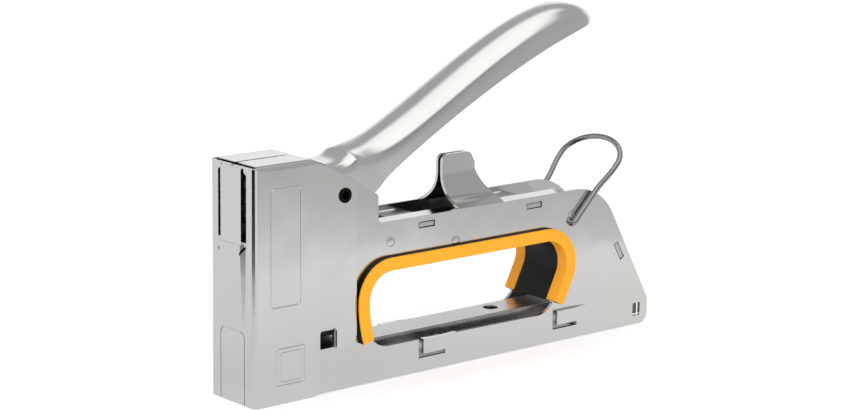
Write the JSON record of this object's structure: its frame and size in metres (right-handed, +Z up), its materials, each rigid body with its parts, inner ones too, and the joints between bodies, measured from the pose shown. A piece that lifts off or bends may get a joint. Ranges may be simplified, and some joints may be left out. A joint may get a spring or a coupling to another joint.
{
  "type": "staple gun",
  "caption": "Hand staple gun of bright pressed steel with a squeeze handle, a yellow and black grip lining, a wire lock bail and a slide-out staple magazine",
  "frame": {"origin": "middle of the base: halfway along the tool, on its mid plane, at the height of the nose's foot", "axes": "+X toward the rear of the magazine, +Y toward the tool's far side (left for a user facing the nose), +Z up, away from the work"},
  "size_m": [0.1848, 0.0314, 0.1231],
  "materials": {
    "nickel": "bright nickel-plated pressed steel, faint ripple and handling smears",
    "bright_steel": "plain bright steel, fine drawn grain",
    "spring_steel": "oiled spring wire",
    "tool_steel": "dark hardened steel",
    "blackened_steel": "blackened tubular pin",
    "rubber": "matt black rubber",
    "staple_wire": "glued galvanised wire",
    "black_plastic": "satin black moulding",
    "yellow_plastic": "semi-gloss yellow moulding"
  },
  "bodies": {
    "frame": {"front_casing": "nickel", "frame_plate_left": "nickel", "frame_plate_right": "nickel", "handle_pivot_pin": "blackened_steel", "return_spring": "spring_steel", "power_spring": "spring_steel", "spring_cap": "tool_steel", "bumper": "rubber", "nose_block": "tool_steel", "magazine_channel": "bright_steel", "rear_guides": "tool_steel", "spacer_front": "tool_steel", "spacer_middle": "tool_steel", "spacer_rear": "tool_steel", "frame_rivets": "nickel", "grip_liner": "black_plastic", "grip_trim_left": "yellow_plastic", "grip_trim_right": "yellow_plastic"},
    "handle": {"handle": "nickel"},
    "plunger": {"plunger": "tool_steel", "lift_studs": "tool_steel", "driver_blade": "bright_steel"},
    "magazine": {"staple_rail": "bright_steel", "staple_strip": "staple_wire", "pusher_rod": "bright_steel", "magazine_catch": "tool_steel", "pusher_spring": "spring_steel"},
    "pusher": {"pusher": "tool_steel"},
    "bail": {"lock_bail": "bright_steel"}
  },
  "joints": [
    {"name": "handle_squeeze", "type": "hinge", "parent": "frame", "child": "handle", "pos_m": [-0.0539, 0, 0.0675], "axis": [0, 1, 0], "range_deg": [0, 25.2], "stiffness_Nm_per_rad": 12, "springref_deg": -6.88},
    {"name": "plunger_lift", "type": "slide", "parent": "frame", "child": "plunger", "axis": [0, 0, 1], "range_m": [0, 0.01241], "deforming": ["power_spring"]},
    {"name": "magazine_slide", "type": "slide", "parent": "frame", "child": "magazine", "axis": [1, 0, 0], "range_m": [0, 0.1]},
    {"name": "pusher_slide", "type": "slide", "parent": "magazine", "child": "pusher", "axis": [1, 0, 0], "range_m": [0, 0.06], "stiffness_N_per_m": 60, "springref_m": -0.06, "deforming": ["pusher_spring"]},
    {"name": "bail_swing", "type": "hinge", "parent": "frame", "child": "bail", "pos_m": [0.0515, 0, 0.0436], "axis": [0, 1, 0], "range_deg": [-52, 68]}
  ],
  "couplings": [
    {"joint": "plunger_lift", "follows": "handle_squeeze", "m_per_rad": 0.0282}
  ]
}
